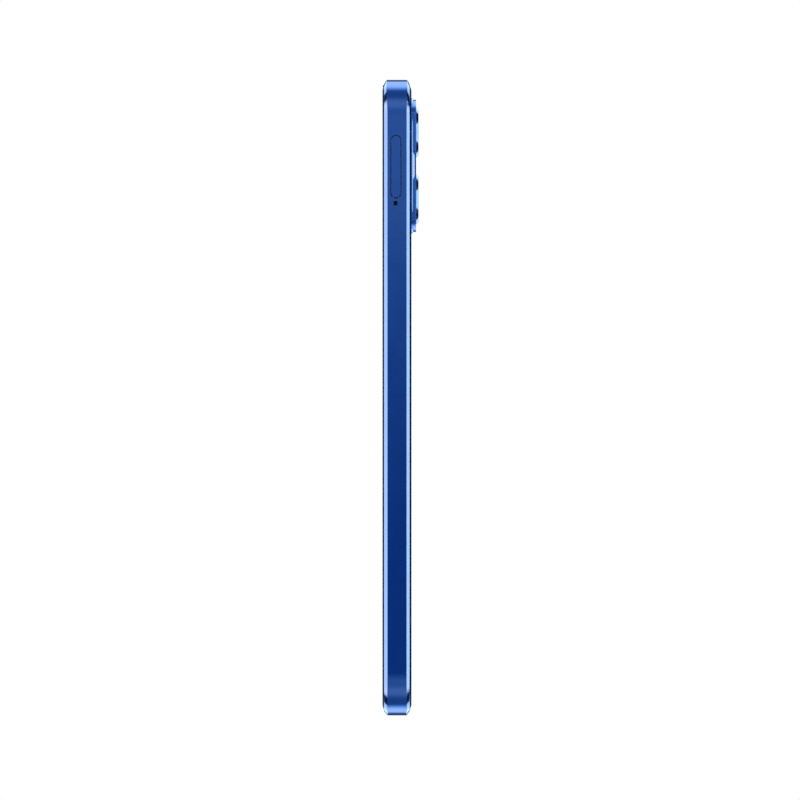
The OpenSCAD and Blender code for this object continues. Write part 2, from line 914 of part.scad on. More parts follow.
// Half disc that turns off balance on the motor's shaft
module vibration_weight() {
    color("darkgoldenrod") difference() {
        post(motor_x + 0.8, motor_x + 2.1, motor_y, motor_z, motor_r - 0.7);
        block([-3, 3], [motor_y - 5, motor_y + 5], [motor_z + 1.1, motor_z + 6]);
        post(-3, 3, motor_y, motor_z, shaft_r + 0.05);
    }
}

module battery() {
    w = battery_y[1] - battery_y[0];
    h = battery_z[1] - battery_z[0];
    color("dimgray") slab(battery_x[0], battery_x[1])
        translate([(battery_y[0] + battery_y[1]) / 2, (battery_z[0] + battery_z[1]) / 2])
            rounded(w, h, 1.5);
}

module battery_adhesive() {
    color("lightgray") for (y = [-15, 15])
        pad(plate_back, battery_x[0], y, 71, 12, 80);
}

module battery_flex() {
    color("darkorange")
        ribbon([[1.57, battery_z[1] + 0.1], [1.57, board_z + 3.2]], battery_flex_y, 6, 0.1);
}

module main_flex() {
    color("darkorange")
        ribbon([[2.26, 20], [2.26, 26.6], [2.6, 26.6], [2.6, 116], [1.57, 116], [1.57, 120.7]],
            main_flex_y, 10, 0.1);
}

// Strip behind the keys, with its flex and three pressure domes
module side_key_set() {
    dome_y = nub_y - key_travel - dome_gap;
    flex_y = dome_y - dome_t;
    z0 = power_z - power_l / 2 - 2;
    z1 = volume_z + volume_l / 2 + 2;
    color("goldenrod") union() {
        block([-key_strip_w / 2, key_strip_w / 2],
            [flex_y - key_flex_t - key_strip_t, flex_y], [z0, z1]);
        for (z = [power_z, volume_z - volume_l / 2 + 4, volume_z + volume_l / 2 - 4])
            cross_bar(flex_y, dome_y, key_x, z, min(dome_r, key_strip_w / 2));
    }
}

// Key cap through its slot, with the flange that keeps it in and its inner nubs
module key(z, l, nubs) {
    color(shell_colour) union() {
        side_slot(wall_y - flange_gap, body_w / 2 + key_proud, key_x, z, key_w, l);
        side_slot(wall_y - flange_gap - flange_t, wall_y - flange_gap, key_x, z,
            key_w + 0.3, l + 2 * flange_over);
        for (d = nubs)
            cross_bar(nub_y, wall_y - flange_gap - flange_t, key_x, z + d, nub_r);
    }
}

module power_key() key(power_z, power_l, [0]);
module volume_rocker() key(volume_z, volume_l, [-volume_l / 2 + 4, volume_l / 2 - 4]);

side_frame();
midframe_plate();
front_glass();
glass_adhesive();
display_panel();
display_flex();
back_cover();
cover_adhesive();
camera_plate();
upper_lens_ring();
lower_lens_ring();
upper_lens_glass();
lower_lens_glass();
macro_lens_glass();
flash_lens();
flash_led();
main_camera_housing();
main_camera_lens();
ultrawide_camera();
macro_camera();
camera_bracket();
front_camera();
earpiece_receiver();
earpiece_diaphragm();
earpiece_mesh();
light_sensor();
main_board();
board_chips();
shield_cans();
board_connectors();
case_screws();
thermal_pad();
board_cover();
top_microphone();
sim_reader();
lever_pin();
eject_lever();
eject_rod();
sim_tray();
tray_gasket();
sub_board();
usb_shell();
usb_tongue();
usb_gasket();
bottom_microphone();
speaker_box();
speaker_cover();
speaker_magnet();
speaker_diaphragm();
speaker_mesh();
vibration_motor_can();
vibration_motor_base();
vibration_weight();
battery();
battery_adhesive();
battery_flex();
main_flex();
side_key_set();
power_key();
volume_rocker();
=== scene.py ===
import json
import math

import bmesh
import bpy
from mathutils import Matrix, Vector


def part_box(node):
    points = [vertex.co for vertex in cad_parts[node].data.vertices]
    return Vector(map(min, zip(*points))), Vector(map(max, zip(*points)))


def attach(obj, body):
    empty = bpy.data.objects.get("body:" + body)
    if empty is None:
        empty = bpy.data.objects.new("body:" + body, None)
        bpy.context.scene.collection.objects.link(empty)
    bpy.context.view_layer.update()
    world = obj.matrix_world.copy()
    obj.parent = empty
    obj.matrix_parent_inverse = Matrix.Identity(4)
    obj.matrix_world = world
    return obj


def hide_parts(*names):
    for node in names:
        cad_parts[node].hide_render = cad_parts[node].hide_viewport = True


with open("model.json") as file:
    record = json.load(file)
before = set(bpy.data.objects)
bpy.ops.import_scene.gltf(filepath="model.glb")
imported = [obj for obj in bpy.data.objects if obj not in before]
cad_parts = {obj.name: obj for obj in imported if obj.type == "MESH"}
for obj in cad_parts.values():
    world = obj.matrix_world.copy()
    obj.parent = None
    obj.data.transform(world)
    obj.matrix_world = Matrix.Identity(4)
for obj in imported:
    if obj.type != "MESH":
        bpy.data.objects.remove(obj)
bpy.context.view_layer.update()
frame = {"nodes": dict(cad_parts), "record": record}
record = frame["record"]

# Lengths are in millimetres as far as the studio, which is in metres.
MM = 0.001


# ---------------------------------------------------------------- measures
def box_mm(node):
    """Lowest and highest corner of a CAD node, in millimetres."""
    low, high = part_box(node)
    return low / MM, high / MM


def middle(node):
    """Centre of a CAD node's box, in millimetres."""
    low, high = box_mm(node)
    return (low + high) / 2


def size_of(node):
    """Size of a CAD node's box, in millimetres."""
    low, high = box_mm(node)
    return high - low


# ---------------------------------------------------------------- outlines
def rounded_rect(u, v, w, h, r, steps):
    """Outline of a rounded rectangle as a function of how far it is drawn in."""
    def points(inset):
        out = []
        for k, (su, sv) in enumerate(((1, 1), (-1, 1), (-1, -1), (1, -1))):
            cu, cv = u + su * (w / 2 - r), v + sv * (h / 2 - r)
            for i in range(steps + 1):
                a = math.radians(90 * (k + i / steps))
                out.append((cu + (r - inset) * math.cos(a), cv + (r - inset) * math.sin(a)))
        return out
    return points


def slot_outline(u, v, w, l, steps):
    """Outline of a bar with round ends: w across u, l along v."""
    def points(inset):
        out = []
        for k, side in enumerate((1, -1)):
            for i in range(2 * steps + 1):
                a = math.radians(180 * (k + i / (2 * steps)))
                out.append((u + (w / 2 - inset) * math.cos(a),
                            v + side * (l - w) / 2 + (w / 2 - inset) * math.sin(a)))
        return out
    return points


def circle_outline(u, v, r, steps):
    """Outline of a circle."""
    def points(inset):
        return [(u + (r - inset) * math.cos(2 * math.pi * i / steps),
                 v + (r - inset) * math.sin(2 * math.pi * i / steps)) for i in range(steps)]
    return points


def along_x(u, v, h):
    return Vector((h, u, v)) * MM


def along_y(u, v, h):
    return Vector((u, h, v)) * MM


def along_z(u, v, h):
    return Vector((u, v, h)) * MM


def round_off(depth, rise, steps, base=0.0, inset=0.0):
    """Levels of a quarter-round edge: (how far in, how high), from its side to its face."""
    return [(inset + depth * (1 - math.cos(math.pi / 2 * i / steps)),
             base + rise * math.sin(math.pi / 2 * i / steps)) for i in range(steps + 1)]


# ---------------------------------------------------------------- meshes
def stack(outline, levels, place, closed=False):
    """Mesh of one outline drawn in by each level's first number, at its second number."""
    bm = bmesh.new()
    rings = [[bm.verts.new(place(u, v, h)) for u, v in outline(inset)] for inset, h in levels]
    pairs = list(zip(rings, rings[1:]))
    if closed:
        pairs.append((rings[-1], rings[0]))
    for a, b in pairs:
        for i in range(len(a)):
            j = (i + 1) % len(a)
            bm.faces.new((a[i], a[j], b[j], b[i]))
    if not closed:
        bm.faces.new(rings[0])
        bm.faces.new(rings[-1])
    return bm


def block(x, y, z):
    """Box between two corners, as a mesh."""
    bm = bmesh.new()
    bmesh.ops.create_cube(bm, size=1)
    for v in bm.verts:
        v.co = Vector((sum(x) / 2 + v.co.x * (x[1] - x[0]),
                       sum(y) / 2 + v.co.y * (y[1] - y[0]),
                       sum(z) / 2 + v.co.z * (z[1] - z[0]))) * MM
    return bm


def as_object(name, *parts):
    """One object from one or more meshes, with its faces turned outward."""
    mesh = bpy.data.meshes.new(name)
    joined = bmesh.new()
    for bm in parts:
        bmesh.ops.recalc_face_normals(bm, faces=bm.faces)
        piece = bpy.data.meshes.new("piece")
        bm.to_mesh(piece)
        bm.free()
        joined.from_mesh(piece)
        bpy.data.meshes.remove(piece)
    joined.to_mesh(mesh)
    joined.free()
    obj = bpy.data.objects.new(name, mesh)
    bpy.context.scene.collection.objects.link(obj)
    return obj


def carve(obj, how, *parts):
    """Cuts meshes out of an object, or joins them to it, and keeps the result."""
    for bm in parts:
        tool = as_object("tool", bm)
        step = obj.modifiers.new("carve", "BOOLEAN")
        step.operation = how
        step.solver = "EXACT"
        step.object = tool
        bpy.context.view_layer.update()
        graph = bpy.context.evaluated_depsgraph_get()
        result = bpy.data.meshes.new_from_object(obj.evaluated_get(graph))
        obj.modifiers.clear()
        old = obj.data
        obj.data = result
        bpy.data.meshes.remove(old)
        tool_mesh = tool.data
        bpy.data.objects.remove(tool)
        bpy.data.meshes.remove(tool_mesh)


def finish_piece(obj, material, body="handset", replaces=(), sharp=32):
    """Shades a piece, gives it its material and hangs it on its body.

    Edges that turn by more than sharp degrees stay sharp."""
    obj.data.materials.clear()
    obj.data.materials.append(material)
    obj.data.shade_smooth()
    obj.data.set_sharp_from_angle(angle=math.radians(sharp))
    weighted = obj.modifiers.new("weighted", "WEIGHTED_NORMAL")
    weighted.keep_sharp = True
    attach(obj, body)
    for node in replaces:
        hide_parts(node)
    return obj


# ---------------------------------------------------------------- node helpers
class Nodes:
    """Short calls for building a node tree."""

    def __init__(self, tree):
        self.tree = tree
        tree.nodes.clear()

    def add(self, kind, **settings):
        node = self.tree.nodes.new(kind)
        for key, value in settings.items():
            setattr(node, key, value)
        return node

    def put(self, socket, value):
        if isinstance(value, bpy.types.NodeSocket):
            self.tree.links.new(value, socket)
        else:
            socket.default_value = value

    def math(self, operation, *values):
        node = self.add("ShaderNodeMath", operation=operation)
        for socket, value in zip(node.inputs, values):
            self.put(socket, value)
        return node.outputs[0]

    def ramp(self, value, low, high, to_low=0.0, to_high=1.0):
        """Smooth step from low to high."""
        node = self.add("ShaderNodeMapRange", interpolation_type="SMOOTHSTEP")
        for socket, given in zip(node.inputs, (value, low, high, to_low, to_high)):
            self.put(socket, given)
        return node.outputs[0]

    def band(self, value, rise_from, rise_to, fall_from, fall_to):
        """Smooth step up and, further on, down again."""
        return self.math("MULTIPLY", self.ramp(value, rise_from, rise_to),
                         self.ramp(value, fall_to, fall_from))

    def mix(self, factor, a, b):
        node = self.add("ShaderNodeMix", data_type="RGBA")
        self.put(node.inputs[0], factor)
        self.put(node.inputs[6], a)
        self.put(node.inputs[7], b)
        return node.outputs[2]

    def noise(self, where, scale, detail=3.0, roughness=0.5):
        node = self.add("ShaderNodeTexNoise")
        self.put(node.inputs["Vector"], where)
        self.put(node.inputs["Scale"], scale)
        self.put(node.inputs["Detail"], detail)
        self.put(node.inputs["Roughness"], roughness)
        return node.outputs["Fac"]

    def stretch(self, where, x, y, z):
        node = self.add("ShaderNodeMapping")
        self.put(node.inputs["Vector"], where)
        self.put(node.inputs["Scale"], (x, y, z))
        return node.outputs[0]


def opaque(rgb):
    return (*rgb, 1.0)


SPECKLE_SHARE = 0.45      # of the fine noise in a finish, the rest is the broad noise
CELL_SHARE = 0.6          # of the cell pattern, and of the noise beside it


def finish(name, dark, light, roughness, metallic=0.0, coat=0.0, coat_roughness=0.03,
           grain=400.0, fine=6000.0, spread=0.25, bump=0.02, bump_depth=0.02,
           stretch=(1, 1, 1), ior=1.5, cells=None, transmission=0.0, specular=0.5,
           anisotropy=0.0):
    """A surface finish: mottled colour, smudged roughness and a fine relief.

    grain, fine and cells are pattern sizes per metre, spread is how much the roughness
    varies, bump_depth is in millimetres."""
    material = bpy.data.materials.new(name)
    material.use_nodes = True
    n = Nodes(material.node_tree)
    out = n.add("ShaderNodeOutputMaterial")
    shader = n.add("ShaderNodeBsdfPrincipled")
    n.tree.links.new(shader.outputs[0], out.inputs[0])
    where = n.stretch(n.add("ShaderNodeTexCoord").outputs["Object"], *stretch)
    broad = n.noise(where, grain, 4.0, 0.6)
    speckle = n.noise(where, fine, 2.0, 0.5)
    blend = n.math("MULTIPLY_ADD", speckle, SPECKLE_SHARE,
                   n.math("MULTIPLY", broad, 1 - SPECKLE_SHARE))
    if cells:
        pattern = n.add("ShaderNodeTexVoronoi")
        n.put(pattern.inputs["Vector"], where)
        n.put(pattern.inputs["Scale"], cells)
        blend = n.math("MULTIPLY_ADD", pattern.outputs["Distance"], CELL_SHARE,
                       n.math("MULTIPLY", blend, CELL_SHARE))
    tone = n.ramp(blend, 0.3, 0.7)
    n.put(shader.inputs["Base Color"], n.mix(tone, opaque(dark), opaque(light)))
    n.put(shader.inputs["Roughness"],
          n.ramp(broad, 0.3, 0.75, roughness * (1 - spread), roughness * (1 + spread)))
    for socket, value in (("Metallic", metallic), ("IOR", ior),
                          ("Specular IOR Level", specular), ("Coat Weight", coat),
                          ("Coat Roughness", coat_roughness),
                          ("Transmission Weight", transmission),
                          ("Anisotropic", anisotropy)):
        shader.inputs[socket].default_value = value
    relief = n.add("ShaderNodeBump")
    relief.inputs["Strength"].default_value = bump
    relief.inputs["Distance"].default_value = bump_depth * MM
    n.put(relief.inputs["Height"], blend)
    n.tree.links.new(relief.outputs[0], shader.inputs["Normal"])
    return material


# ---------------------------------------------------------------- materials
DEEP_BLUE = (0.008, 0.062, 0.335)
PALE_BLUE = (0.013, 0.078, 0.385)
LOOKS = {}


def look(name, *colours_and_roughness, **settings):
    """Finish of one of the record's material slots."""
    LOOKS[name] = finish(name, *colours_and_roughness, **settings)


look("blue_lacquer", DEEP_BLUE, PALE_BLUE, 0.14, metallic=1.0, coat=1.0, grain=160, fine=1800,
     spread=0.2, bump=0.02, bump_depth=0.002)
look("blue_back", (0.006, 0.044, 0.25), (0.009, 0.056, 0.29), 0.18, metallic=1.0, coat=0.9,
     grain=90, fine=7000, spread=0.3, bump=0.04, bump_depth=0.004, stretch=(1, 1, 0.15))
look("blue_camera", (0.01, 0.075, 0.36), (0.02, 0.095, 0.42), 0.16, metallic=1.0, coat=1.0,
     grain=200, fine=1800, spread=0.2, bump=0.02, bump_depth=0.002)
look("blue_ring", (0.035, 0.1, 0.33), (0.05, 0.125, 0.38), 0.15, metallic=1.0, coat=1.0,
     grain=300, fine=2500, spread=0.2, bump=0.03, bump_depth=0.002, anisotropy=0.3)
look("screen_glass", (0.006, 0.01, 0.022), (0.009, 0.014, 0.03), 0.08, specular=0.16, grain=60,
     fine=3000, spread=0.5, bump=0.01, bump_depth=0.004)
look("display", (0.004, 0.006, 0.012), (0.008, 0.011, 0.02), 0.18, grain=200, fine=8000,
     bump=0.02)
look("lens_glass", (0.92, 0.95, 1.0), (1.0, 1.0, 1.0), 0.02, transmission=1.0, ior=1.22,
     grain=120, fine=3000, bump=0.003, bump_depth=0.002)
look("flash_window", (0.86, 0.84, 0.74), (0.95, 0.93, 0.86), 0.24, transmission=0.75, ior=1.45,
     grain=900, fine=6000, bump=0.2, bump_depth=0.02)
look("phosphor", (0.86, 0.62, 0.08), (0.95, 0.74, 0.16), 0.6, grain=3000, fine=12000, bump=0.3)
look("camera_black", (0.006, 0.006, 0.007), (0.012, 0.012, 0.014), 0.45, grain=1200, fine=9000,
     bump=0.15)
look("black_plastic", (0.01, 0.01, 0.011), (0.02, 0.02, 0.022), 0.5, grain=1200, fine=9000,
     bump=0.25, bump_depth=0.03)
look("plate_metal", (0.42, 0.43, 0.45), (0.56, 0.57, 0.59), 0.42, metallic=1.0, grain=500,
     fine=6000, bump=0.15, stretch=(1, 0.2, 1))
look("steel", (0.48, 0.48, 0.47), (0.62, 0.62, 0.61), 0.3, metallic=1.0, grain=700, fine=9000,
     bump=0.1, stretch=(1, 1, 0.2), anisotropy=0.4)
look("screw_steel", (0.35, 0.35, 0.36), (0.55, 0.55, 0.56), 0.34, metallic=1.0, grain=1500,
     fine=9000, bump=0.12)
look("brass_weight", (0.55, 0.38, 0.12), (0.72, 0.52, 0.2), 0.35, metallic=1.0, grain=1200,
     fine=9000, bump=0.15)
look("diaphragm", (0.42, 0.24, 0.04), (0.55, 0.34, 0.08), 0.35, grain=900, fine=6000, bump=0.2,
     transmission=0.2)
look("board", (0.006, 0.045, 0.02), (0.012, 0.075, 0.035), 0.38, coat=0.5, coat_roughness=0.2,
     grain=1500, fine=7000, bump=0.35, bump_depth=0.04, cells=900)
look("chip_black", (0.012, 0.012, 0.013), (0.028, 0.028, 0.03), 0.55, grain=2500, fine=9000,
     bump=0.2)
look("connector", (0.3, 0.28, 0.24), (0.55, 0.5, 0.38), 0.35, metallic=0.8, grain=2500,
     fine=6000, bump=0.4, bump_depth=0.05, cells=2500)
look("flex", (0.38, 0.16, 0.02), (0.5, 0.24, 0.04), 0.35, coat=0.4, coat_roughness=0.15,
     grain=600, fine=5000, bump=0.2, stretch=(1, 6, 1))
look("foam_tape", (0.02, 0.02, 0.021), (0.045, 0.045, 0.046), 0.9, grain=3000, fine=12000,
     bump=0.6, bump_depth=0.05, cells=6000)
look("pull_tape", (0.6, 0.6, 0.58), (0.75, 0.75, 0.73), 0.55, grain=700, fine=5000, bump=0.2,
     transmission=0.3)
look("thermal", (0.42, 0.43, 0.46), (0.55, 0.56, 0.6), 0.85, grain=1800, fine=9000, bump=0.4)
look("seal_rubber", (0.008, 0.008, 0.009), (0.018, 0.018, 0.019), 0.7, grain=1600, fine=9000,
     bump=0.35)
look("battery_foil", (0.05, 0.052, 0.056), (0.1, 0.102, 0.108), 0.42, metallic=0.6, grain=350,
     fine=5000, bump=0.4, bump_depth=0.06)
look("mesh", (0.006, 0.006, 0.007), (0.05, 0.05, 0.055), 0.55, metallic=0.3, grain=3000,
     fine=9000, bump=0.8, bump_depth=0.06, cells=5000)
GOLD = finish("contact_gold", (0.75, 0.5, 0.14), (0.9, 0.64, 0.24), 0.25, metallic=1.0,
              grain=2500, fine=12000, bump=0.1)
LENS_COATING = finish("lens_coating", (0.010, 0.005, 0.045), (0.012, 0.03, 0.09), 0.04,
                      grain=150, fine=2000, spread=0.1, bump=0.003, specular=0.6)


# ---------------------------------------------------------------- side frame
CORNER_R = 11.0
CORNER_STEPS = 40
BEVEL_IN = 1.15           # reach of both bevels in from the side
BEVEL_FRONT = 0.9         # reach back from the front face
BEVEL_BACK = 0.79         # reach forward from the back face
BEVEL_TOP = 0.62          # both of those along the top end, where the bevels are narrower
BEVEL_SOFT = 0.1          # reach of the curve that softens each end of a bevel
FACE_SOFT = 0.6           # share of it on the narrow front and back faces
SOFT_STEPS = 4
LIP_IN = 1.3              # inner edge of the lips round the glass and the cover
LEDGE_GAP = 0.1           # from the glass and the cover to the ledges behind them
LEDGE_IN = 2.4
GROOVE_IN = 2.5
GROOVE_DEPTH = 0.4
WALL_IN = 2.0

frame_low, frame_high = box_mm("side_frame")
body_w = frame_high.y - frame_low.y
body_h = frame_high.z - frame_low.z
mid_y = (frame_high.y + frame_low.y) / 2
mid_z = (frame_high.z + frame_low.z) / 2
glass_low, glass_high = box_mm("front_glass")
cover_low, cover_high = box_mm("back_cover")
plate_front = box_mm("midframe_plate")[0].x
frame_outline = rounded_rect(mid_y, mid_z, body_w, body_h, CORNER_R, CORNER_STEPS)


def top_share(index):
    """1 along the top edge, 0 along the other three, easing round the top corners."""
    corner, i = divmod(index, CORNER_STEPS + 1)
    t = i / CORNER_STEPS
    share = (t, 1 - t, 0.0, 0.0)[corner]
    return share * share * (3 - 2 * share)


def frame_section(share):
    """Loop of (in from the side, along the thickness) round the frame's section."""
    front, back = frame_low.x, frame_high.x
    bevel_f = BEVEL_FRONT + (BEVEL_TOP - BEVEL_FRONT) * share
    bevel_b = BEVEL_BACK + (BEVEL_TOP - BEVEL_BACK) * share
    slope_f = Vector((BEVEL_IN, bevel_f)).normalized()
    slope_b = Vector((BEVEL_IN, bevel_b)).normalized()
    ledge_front = glass_high.x + LEDGE_GAP
    ledge_back = cover_low.x - LEDGE_GAP
    loop = []

    def corner(at, before, after):
        """Rounds one corner with a short curve between two directions."""
        start = (at[0] - before[0] * BEVEL_SOFT, at[1] - before[1] * BEVEL_SOFT)
        end = (at[0] + after[0] * BEVEL_SOFT, at[1] + after[1] * BEVEL_SOFT)
        for i in range(SOFT_STEPS + 1):
            t = i / SOFT_STEPS
            loop.append(tuple((1 - t) ** 2 * a + 2 * t * (1 - t) * b + t * t * c
                              for a, b, c in zip(start, at, end)))

    corner((BEVEL_IN, front), (-FACE_SOFT, 0), (-slope_f.x, slope_f.y))
    corner((0.0, front + bevel_f), (-slope_f.x, slope_f.y), (0, 1))
    corner((0.0, back - bevel_b), (0, 1), (slope_b.x, slope_b.y))
    corner((BEVEL_IN, back), (slope_b.x, slope_b.y), (FACE_SOFT, 0))
    loop += [(LIP_IN, back), (LIP_IN, ledge_back), (GROOVE_IN, ledge_back),
             (GROOVE_IN, ledge_back - GROOVE_DEPTH), (WALL_IN, ledge_back - GROOVE_DEPTH),
             (WALL_IN, plate_front), (LEDGE_IN, plate_front), (LEDGE_IN, ledge_front),
             (LIP_IN, ledge_front), (LIP_IN, front)]
    return loop


def build_frame():
    """The frame's section, turned once round the phone."""
    bm = bmesh.new()
    count = len(frame_outline(0))
    turned = []
    for k in range(count):
        section = frame_section(top_share(k))
        turned.append([bm.verts.new(along_x(*frame_outline(inset)[k], x))
                       for inset, x in section])
    for k in range(count):
        a, b = turned[k], turned[(k + 1) % count]
        for s in range(len(a)):
            t = (s + 1) % len(a)
            bm.faces.new((a[s], b[s], b[t], a[t]))
    return as_object("frame_shell", bm)


def flared(outline, mouth, inner, place, flare=0.06):
    """Cutter whose mouth flares by a small chamfer. mouth and inner are heights."""
    way = 1 if mouth > inner else -1
    levels = [(0, inner), (0, mouth - way * flare), (-flare, mouth), (-flare, mouth + way)]
    return stack(outline, levels, place)


CUT_DEPTH = 3.0
SLOT_STEPS = 16
HOLE_STEPS = 32
EJECT_STEPS = 40
USB_STEPS = 20
DOOR_GAP = 0.2
KEY_W = 2.0
KEY_GAP = 0.1
FLANGE_OVER = 0.8         # how far a key's flange reaches past its cap at each end
USB_PLAY = 0.12
SOUND_R = 0.55
SOUND_HOLES = 6
SOUND_Y = -12.0
SOUND_PITCH = 2.4
MIC_R = 0.5

side_frame = build_frame()
near, far = frame_low.y, frame_high.y
bottom, top = frame_low.z, frame_high.z
door_low, door_high = box_mm("sim_tray")
tray_mid = middle("sim_tray")
door_w = door_high.x - door_low.x
door_l = door_high.z - door_low.z
rod_mid = middle("eject_rod")
eject_r = next(mount["dims"]["r_mm"] for mount in record["mounts"]
               if mount["name"] == "eject_hole")
usb_size = size_of("usb_shell")

cutters = [
    flared(slot_outline(tray_mid.x, tray_mid.z, door_w + 2 * DOOR_GAP, door_l + 2 * DOOR_GAP,
                        SLOT_STEPS), near, near + CUT_DEPTH, along_y, flare=0.04),
    flared(circle_outline(rod_mid.x, rod_mid.z, eject_r, EJECT_STEPS),
           near, near + CUT_DEPTH, along_y, flare=0.05),
]
for key in ("power_key", "volume_rocker"):
    key_mid = middle(key)
    cap_l = size_of(key).z - 2 * FLANGE_OVER
    cutters.append(flared(
        slot_outline(key_mid.x, key_mid.z, KEY_W + 2 * KEY_GAP, cap_l + 2 * KEY_GAP,
                     SLOT_STEPS), far, far - CUT_DEPTH, along_y, flare=0.05))
cutters.append(flared(
    slot_outline(0, 0, usb_size.x + 2 * USB_PLAY, usb_size.y + 2 * USB_PLAY, USB_STEPS),
    bottom, bottom + CUT_DEPTH, along_z, flare=0.1))
round_holes = [(SOUND_Y - i * SOUND_PITCH, SOUND_R) for i in range(SOUND_HOLES)]
round_holes.append((middle("bottom_microphone").y, MIC_R))
for y, r in round_holes:
    cutters.append(flared(circle_outline(0, y, r, HOLE_STEPS),
                          bottom, bottom + CUT_DEPTH, along_z))
cutters.append(flared(circle_outline(0, middle("top_microphone").y, MIC_R, HOLE_STEPS),
                      top, top - CUT_DEPTH, along_z))
carve(side_frame, "DIFFERENCE", *cutters)
finish_piece(side_frame, LOOKS["blue_lacquer"], replaces=["side_frame"],
             sharp=28)


# ---------------------------------------------------------------- front glass
EDGE_RUN = 1.4            # how far in the rims of the glass and the cover curve
EDGE_BEND = 1.3
EDGE_STEPS = 14
SLIT_SIDE = 0.1           # room round the earpiece's mesh
SLIT_BELOW = 0.06
EYE_R = 1.75              # opening of the front camera
EYE_PLAY = 0.01
EYE_STEPS = 48


def cover_levels(inner, outer, rise):
    """Levels of a cover: square inside, then curving in over its proud part to its face."""
    way = 1 if outer > inner else -1
    curve = [(EDGE_RUN * t, outer - way * rise * (1 - t) ** EDGE_BEND)
             for t in (i / EDGE_STEPS for i in range(EDGE_STEPS + 1))]
    return [(0, inner)] + curve


cover_in = glass_low.y - frame_low.y
cover_outline = rounded_rect(mid_y, mid_z, body_w - 2 * cover_in, body_h - 2 * cover_in,
                             CORNER_R - cover_in, CORNER_STEPS)
front_glass = as_object("front_glass_panel", stack(
    cover_outline, cover_levels(glass_high.x, glass_low.x, frame_low.x - glass_low.x), along_x))
slit_low, slit_high = box_mm("earpiece_mesh")
eye_z = middle("front_camera").z
carve(front_glass, "DIFFERENCE",
      block((glass_low.x - 1, glass_high.x + 1),
            (slit_low.y - SLIT_SIDE, slit_high.y + SLIT_SIDE),
            (slit_low.z - SLIT_BELOW, slit_high.z + 1)),
      flared(circle_outline(0, eye_z, EYE_R, EYE_STEPS), glass_low.x, glass_high.x + 1, along_x,
             flare=0.03))
finish_piece(front_glass, LOOKS["screen_glass"], replaces=["front_glass"])

# the front camera's window: a flat ring round a well with the lens's dome in it
EYE_SINK = 0.005
EYE_CHAMFER = 0.03
EYE_BACK = 0.1
EYE_RING = 0.68
EYE_WELL_IN = 0.74
EYE_WELL = 0.12
DOME_IN = 0.76
DOME_R = 0.95
DOME_RISE = 0.1
DOME_STEPS = 8
face_x = glass_low.x + EYE_SINK
eye_levels = [(0, glass_high.x - EYE_BACK), (0, face_x + EYE_CHAMFER), (EYE_CHAMFER, face_x),
              (EYE_RING, face_x), (EYE_WELL_IN, face_x + EYE_WELL)]
eye_levels += round_off(DOME_R, -DOME_RISE, DOME_STEPS, face_x + EYE_WELL, DOME_IN)
finish_piece(as_object("front_camera_window", stack(
    circle_outline(0, eye_z, EYE_R - EYE_PLAY, EYE_STEPS), eye_levels, along_x)), LENS_COATING)


# ---------------------------------------------------------------- back cover
BUMP_R = 7.0              # corner radius of the camera plate
BOSS_IN = 1.5             # from the plate's edge to its boss in the cover
BOSS_PLAY = 0.05
BOSS_STEPS = 12

bump_low, bump_high = box_mm("camera_plate")
bump_y = (bump_low.y + bump_high.y) / 2
bump_z = (bump_low.z + bump_high.z) / 2
bump_w = bump_high.y - bump_low.y
bump_h = bump_high.z - bump_low.z
boss_in = BOSS_IN - BOSS_PLAY
back_cover = as_object("back_cover_panel", stack(
    cover_outline, cover_levels(cover_low.x, cover_high.x, cover_high.x - frame_high.x), along_x))
carve(back_cover, "DIFFERENCE", stack(
    rounded_rect(bump_y, bump_z, bump_w - 2 * boss_in, bump_h - 2 * boss_in,
                 BUMP_R - BOSS_IN, BOSS_STEPS),
    [(0, cover_low.x - 1), (0, cover_high.x + 1)], along_x))
finish_piece(back_cover, LOOKS["blue_back"], replaces=["back_cover"])


# ---------------------------------------------------------------- camera plate
COLLAR_R = 8.43           # raised collar round each lens ring
COLLAR_IN = 6.75          # from the ring's axis to the collar's flat side
COLLAR_ROUND = 0.07
COLLAR_ROOT = 0.3
COLLAR_STEPS = 160
PLATE_STEPS = 28
BORE_PLAY = 0.02
RING_STEPS = 128
LENS_STEPS = 96
WINDOW_STEPS = 64
# the plate's edge: how far in, and how high over the cover
SHOULDER = ((0.0, 0.0), (0.0, 0.15), (0.03, 0.2), (0.35, 0.46), (0.70, 0.73), (0.92, 0.86),
            (1.15, 0.965), (1.4, 1.05), (1.75, 1.13), (2.2, 1.175))
FACE_IN = 2.7

base_x = cover_high.x
top_x = bump_high.x
upper = middle("upper_lens_ring")
lower = middle("lower_lens_ring")
macro = middle("macro_lens_glass")
flash = middle("flash_lens")
ring_r = size_of("upper_lens_ring").z / 2
macro_r = size_of("macro_lens_glass").z / 2
flash_r = size_of("flash_lens").z / 2


def collar(ring):
    """Raised collar round a ring, cut flat along the plate's side, with a softened rim."""
    def points(inset):
        out = []
        for i in range(COLLAR_STEPS):
            a = 2 * math.pi * i / COLLAR_STEPS
            y = (COLLAR_R - inset) * math.cos(a)
            z = (COLLAR_R - inset) * math.sin(a)
            out.append((ring.y + max(y, -COLLAR_IN + inset), ring.z + z))
        return out
    levels = [(0, base_x - COLLAR_ROOT)]
    levels += round_off(COLLAR_ROUND, COLLAR_ROUND, 5, top_x - COLLAR_ROUND)
    return stack(points, levels, along_x)


